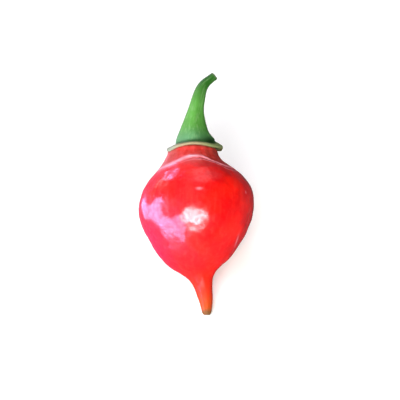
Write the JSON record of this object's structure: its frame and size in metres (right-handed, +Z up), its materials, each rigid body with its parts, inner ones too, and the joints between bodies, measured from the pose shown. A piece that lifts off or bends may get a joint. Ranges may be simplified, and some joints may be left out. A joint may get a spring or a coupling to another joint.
{
  "type": "peito de moca pepper",
  "caption": "Red, round-shouldered chilli pepper with a pointed beak and a curved green stalk on a pale-edged calyx, picked and lying on its flank and the tip of its beak.",
  "frame": {"origin": "middle of the lying pepper's box, on the table it lies on", "axes": "+Z up from the table; +Y from the beak towards the stalk, seen from above; +X to the side that the beak and the stalk's end lean to"},
  "size_m": [0.0254, 0.0476, 0.0278],
  "materials": {
    "pod_skin": "glossy waxy red skin, going orange and then brown at the tip of the beak",
    "green_stalk": "satin green stalk with a pale, corky calyx margin"
  },
  "bodies": {
    "root": {"pod": "pod_skin", "calyx_and_stalk": "green_stalk"}
  },
  "joints": []
}
